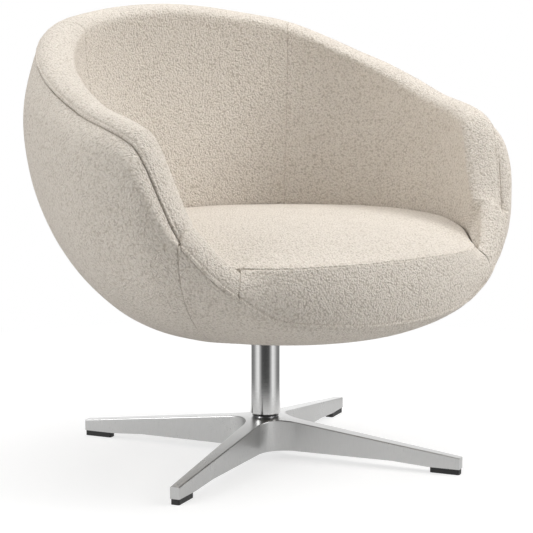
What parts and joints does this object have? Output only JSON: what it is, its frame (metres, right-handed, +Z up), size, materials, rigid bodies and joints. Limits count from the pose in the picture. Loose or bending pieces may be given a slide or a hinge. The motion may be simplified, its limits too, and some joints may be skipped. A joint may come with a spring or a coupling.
{
  "type": "swivel armchair",
  "caption": "Round tub armchair in looped cloth with sloping arms and a domed seat, turning on a steel column over a cast star base",
  "frame": {"origin": "under the middle of the plan, at the floor; the swivel axis stands 20 mm in front of it", "axes": "+Z up along the swivel axis, -Y towards the seat's front, +X towards the sitter's left-hand arm"},
  "size_m": [0.7804, 0.7321, 0.758],
  "materials": {
    "boucle_fabric": "looped wool-like upholstery cloth",
    "moulded_shell": "moulded, matt",
    "padding_foam": "cut foam",
    "under_cloth": "non-woven black cloth",
    "black_steel": "powder coated, satin",
    "zinc_steel": "zinc plated",
    "satin_steel": "satin, brushed along its length",
    "bush_plastic": "moulded",
    "plain_steel": "ground",
    "cage_brass": "pressed",
    "cast_aluminium": "cast, brushed top",
    "glide_rubber": "moulded"
  },
  "bodies": {
    "base": {"star_base": "cast_aluminium", "post": "plain_steel", "post_bolt": "zinc_steel", "post_washer": "zinc_steel", "thrust_race_lower": "plain_steel", "thrust_rollers": "plain_steel", "roller_cage": "cage_brass", "pivot_bolt": "zinc_steel", "pivot_washer": "zinc_steel", "glide_screws": "zinc_steel", "glide_right": "glide_rubber", "glide_back": "glide_rubber", "glide_left": "glide_rubber", "glide_front": "glide_rubber"},
    "seat_tub": {"outer_cover": "boucle_fabric", "front_cover": "boucle_fabric", "inner_back_cover": "boucle_fabric", "inner_arm_cover_left": "boucle_fabric", "inner_arm_cover_right": "boucle_fabric", "seat_top_cover": "boucle_fabric", "seat_front_cover": "boucle_fabric", "tub_shell": "moulded_shell", "inner_padding": "padding_foam", "seat_foam": "padding_foam", "bottom_cover": "under_cloth", "seat_plate": "black_steel", "plate_bolts": "zinc_steel", "plate_washers": "zinc_steel", "tee_nuts": "zinc_steel", "column_sleeve": "satin_steel", "lower_bush": "bush_plastic", "upper_bush": "bush_plastic", "top_cap": "plain_steel", "thrust_race_upper": "plain_steel"}
  },
  "joints": [
    {"name": "swivel", "type": "hinge", "parent": "base", "child": "seat_tub", "pos_m": [0, -0.02, 0.15], "axis": [0, 0, 1], "continuous": true}
  ]
}
